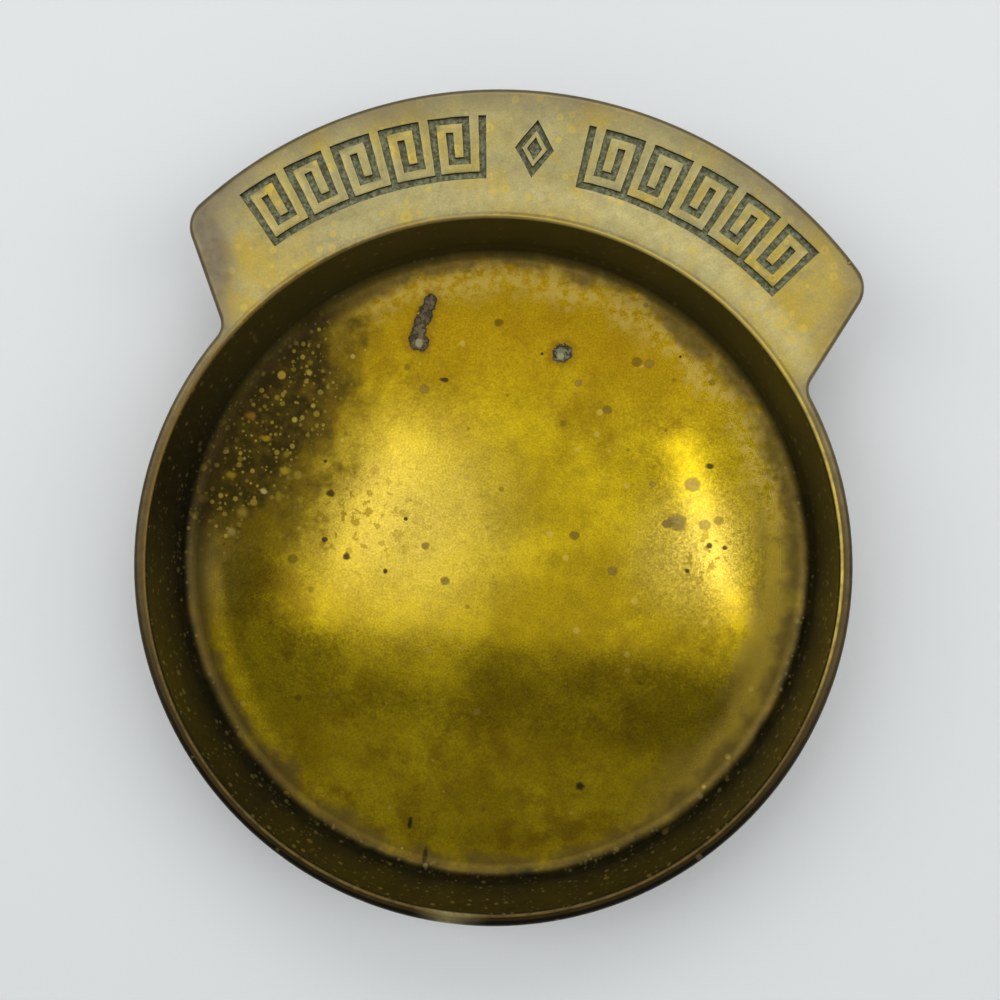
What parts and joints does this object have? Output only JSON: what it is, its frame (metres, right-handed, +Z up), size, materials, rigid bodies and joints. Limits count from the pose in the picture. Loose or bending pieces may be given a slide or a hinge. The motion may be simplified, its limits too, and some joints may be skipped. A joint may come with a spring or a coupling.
{
  "type": "coin tray",
  "caption": "Round cast brass coin tray with a shallow turned dish, a raised arc flange carrying a carved border along one side, and a felt disc under its foot.",
  "frame": {"origin": "on the dish's axis, on the plane the tray rests on", "axes": "+Z up along the dish's axis, +Y from the dish towards the middle of the flange, +X to the right when the flange is at the far side"},
  "size_m": [0.127, 0.1479, 0.022],
  "materials": {
    "brass": "aged cast brass, turned inside, tarnished brown at the edges and on the wall",
    "felt": "dark green wool felt"
  },
  "bodies": {
    "root": {"dish_casting": "brass", "felt_pad": "felt"}
  },
  "joints": []
}
